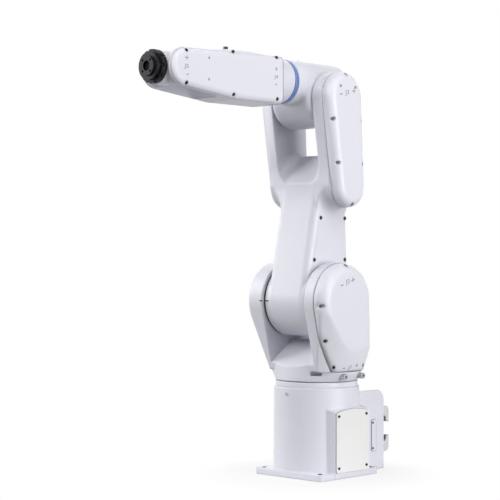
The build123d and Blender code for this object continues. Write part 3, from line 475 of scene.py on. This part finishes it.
swept_form = sweep_arm(valley=(54.7, 633.3), kink=0.362, half_length=45)
swept_arm = add_piece("swept_upper_arm", "upper_arm", cast_coat, swept_form)
swept_arm.data.shade_smooth()
swept_arm.data.set_sharp_from_angle(angle=math.radians(32))
even = swept_arm.modifiers.new("even", "WEIGHTED_NORMAL")
even.keep_sharp = True
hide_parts("upper_arm_casting")


# Camera at the photographed angle
camera = bpy.data.objects.new("camera", bpy.data.cameras.new("camera"))
camera.data.sensor_width = 36.0
camera.data.lens = 109.76
camera.location = (2.53467, 2.23561, 0.48776)
camera.rotation_euler = Vector((-0.72037, -0.69359, 0.00193)).to_track_quat("-Z", "Y").to_euler()
scene.collection.objects.link(camera)
scene.camera = camera

# White studio: softboxes round the arm, a faint fill, stronger from below, and a floor that fades into the backdrop
world = bpy.data.worlds.new("studio")
scene.world = world
world.use_nodes = True
sky = world.node_tree
sky.nodes.clear()
ray = add_node(sky, "ShaderNodeLightPath").outputs
seen = add_node(sky, "ShaderNodeMath", {0: ray["Is Camera Ray"], 1: ray["Is Transmission Ray"]},
                operation="MAXIMUM")
shown = add_node(sky, "ShaderNodeMath", {0: seen.outputs[0], 1: ray["Is Glossy Ray"]}, operation="MAXIMUM")
rise = add_node(sky, "ShaderNodeSeparateXYZ", {0: add_node(sky, "ShaderNodeTexCoord").outputs["Generated"]})
bounce = add_node(sky, "ShaderNodeMapRange", {"Value": rise.outputs["Z"]},
                  {"From Min": -0.25, "From Max": 0.0, "To Min": 0.25, "To Max": 0.03})
fill = add_node(sky, "ShaderNodeBackground", {"Strength": bounce.outputs[0]}, {"Color": linear("#F6F6FA")})
backdrop = add_node(sky, "ShaderNodeBackground", values={"Color": linear("#FFFFFF"), "Strength": 1.0})
either = add_node(sky, "ShaderNodeMixShader", {0: shown.outputs[0], 1: fill.outputs[0], 2: backdrop.outputs[0]})
add_node(sky, "ShaderNodeOutputWorld", {"Surface": either.outputs[0]})


arm_middle = Vector((0.1, 0, 0.45))


def softbox(name, azimuth, elevation, distance, width, height, power):
    """A large soft lamp aimed at the middle of the arm."""
    lamp = bpy.data.lights.new(name, "AREA")
    lamp.shape = "RECTANGLE"
    lamp.size, lamp.size_y, lamp.energy = width, height, power
    holder = bpy.data.objects.new(name, lamp)
    a, e = math.radians(azimuth), math.radians(elevation)
    away = Vector((math.cos(a) * math.cos(e), math.sin(a) * math.cos(e), math.sin(e)))
    holder.location = arm_middle + away * distance
    holder.rotation_euler = (-away).to_track_quat("-Z", "Y").to_euler()
    scene.collection.objects.link(holder)


softbox("right_softbox", -60, 20, 2.6, 1.2, 1.6, 47)
softbox("front_softbox", 0, 40, 2.6, 1.2, 1.6, 34)
softbox("left_softbox", 100, 4, 2.6, 1.2, 1.6, 43)
softbox("left_high_softbox", 80, 40, 2.6, 1.2, 1.6, 22)
softbox("rear_softbox", 225, 25, 2.6, 1.6, 2.0, 12)

# The floor disc is small enough for the arm to hang past it at the end of the shoulder's swing
floor_radius = 0.34
floor_mesh = bpy.data.meshes.new("floor")
disc = bmesh.new()
bmesh.ops.create_circle(disc, cap_ends=True, segments=96, radius=floor_radius,
                        matrix=Matrix.Translation((0, 0, -0.2 * MM)))
disc.to_mesh(floor_mesh)
disc.free()
floor = bpy.data.objects.new("floor", floor_mesh)
scene.collection.objects.link(floor)
# Seamless paper: white, dull, fading to the backdrop away from the foot
paper, tree, output, place = new_finish("seamless_white_paper")
reach = add_node(tree, "ShaderNodeVectorMath", {0: place}, operation="LENGTH")
fade = add_node(tree, "ShaderNodeMapRange", {"Value": reach.outputs["Value"]},
                {"From Min": 0.12, "From Max": 0.3, "To Min": 0.8}, interpolation_type="SMOOTHSTEP")
paper_ray = add_node(tree, "ShaderNodeLightPath").outputs
paper_seen = add_node(tree, "ShaderNodeMath", {0: paper_ray["Is Camera Ray"], 1: paper_ray["Is Glossy Ray"]},
                      operation="MAXIMUM")
blank = add_node(tree, "ShaderNodeMath", {0: fade.outputs[0], 1: paper_seen.outputs[0]}, operation="MULTIPLY")
matt = add_node(tree, "ShaderNodeBsdfDiffuse", values={"Color": linear("#DCDCDE")})
glow = add_node(tree, "ShaderNodeEmission", values={"Color": linear("#FFFFFF"), "Strength": 1.0})
sheet = add_node(tree, "ShaderNodeMixShader", {0: blank.outputs[0], 1: matt.outputs[0], 2: glow.outputs[0]})
tree.links.new(sheet.outputs[0], output.inputs["Surface"])
floor_mesh.materials.append(paper)

scene.view_settings.view_transform = "Standard"
